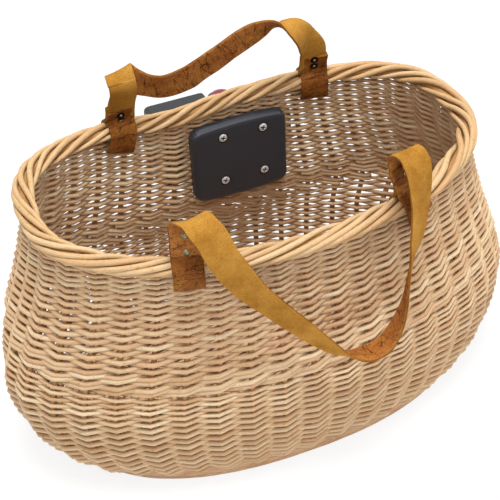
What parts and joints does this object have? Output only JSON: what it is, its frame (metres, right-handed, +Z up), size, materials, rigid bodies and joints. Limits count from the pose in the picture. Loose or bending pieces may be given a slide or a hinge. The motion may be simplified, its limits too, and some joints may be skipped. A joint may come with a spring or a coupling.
{
  "type": "bicycle handlebar basket",
  "caption": "Oval wicker handlebar basket with rolled rim, riveted leather handles and a quick-release bar clamp.",
  "frame": {"origin": "middle of the flat underside of the woven base", "axes": "+Z up, +X along the basket's length to the right, +Y towards the bicycle, -Y the front"},
  "size_m": [0.4978, 0.3639, 0.3409],
  "materials": {
    "wicker": "peeled willow, satin",
    "wicker_foot": "peeled willow, satin",
    "wicker_rim": "peeled willow, satin",
    "leather": "suede inside, grain outside",
    "brass": "aged",
    "dark_plastic": "fine texture",
    "grey_plastic": "fine texture",
    "red_plastic": "smooth",
    "zinc": "zinc plated"
  },
  "bodies": {
    "basket": {"woven_base": "wicker_foot", "foot_wale": "wicker_foot", "lower_wall": "wicker", "transition_wale": "wicker", "upper_wall": "wicker", "rim_border": "wicker_rim", "front_left_loop": "leather", "front_right_loop": "leather", "rear_left_loop": "leather", "rear_right_loop": "leather", "front_left_rivet_low": "brass", "front_left_rivet_high": "brass", "front_right_rivet_low": "brass", "front_right_rivet_high": "brass", "rear_left_rivet_low": "brass", "rear_left_rivet_high": "brass", "rear_right_rivet_low": "brass", "rear_right_rivet_high": "brass", "inner_plate": "dark_plastic", "outer_bracket": "dark_plastic", "plate_screw_1": "zinc", "plate_screw_2": "zinc", "plate_screw_3": "zinc", "plate_screw_4": "zinc", "bracket_nut_1": "zinc", "bracket_nut_2": "zinc", "bracket_nut_3": "zinc", "bracket_nut_4": "zinc", "clamp_bolt_left_low": "zinc", "clamp_bolt_left_high": "zinc", "clamp_bolt_right_low": "zinc", "clamp_bolt_right_high": "zinc", "button_spring_left": "zinc", "button_spring_right": "zinc", "adapter_housing": "grey_plastic", "clamp_cap_left": "grey_plastic", "clamp_cap_right": "grey_plastic"},
    "front_handle_body": {"front_handle": "leather"},
    "rear_handle_body": {"rear_handle": "leather"},
    "button_body": {"release_button": "red_plastic"},
    "latch_body": {"latch": "dark_plastic"},
    "lock_barrel_body": {"lock_barrel": "dark_plastic"}
  },
  "joints": [
    {"name": "front_handle_fold", "type": "hinge", "parent": "basket", "child": "front_handle_body", "pos_m": [0, -0.09722, 0.2997], "axis": [-1, 0, 0], "range_deg": [0, 160]},
    {"name": "rear_handle_fold", "type": "hinge", "parent": "basket", "child": "rear_handle_body", "pos_m": [0.00777, 0.10382, 0.28401], "axis": [0.9999, -0.0124, 0.0046], "range_deg": [-60, 100]},
    {"name": "button_press", "type": "slide", "parent": "basket", "child": "button_body", "axis": [0, 0, -1], "range_m": [0, 0.0046], "stiffness_N_per_m": 600, "springref_m": -0.003, "deforming": ["button_spring_left", "button_spring_right"]},
    {"name": "latch_slide", "type": "slide", "parent": "basket", "child": "latch_body", "axis": [0, 1, 0], "range_m": [0, 0.0046]},
    {"name": "lock_turn", "type": "hinge", "parent": "basket", "child": "lock_barrel_body", "pos_m": [-0.05, 0.1551, 0.212], "axis": [-1, 0, 0], "range_deg": [0, 90]}
  ],
  "couplings": [
    {"joint": "latch_slide", "follows": "button_press", "ratio": 1}
  ]
}
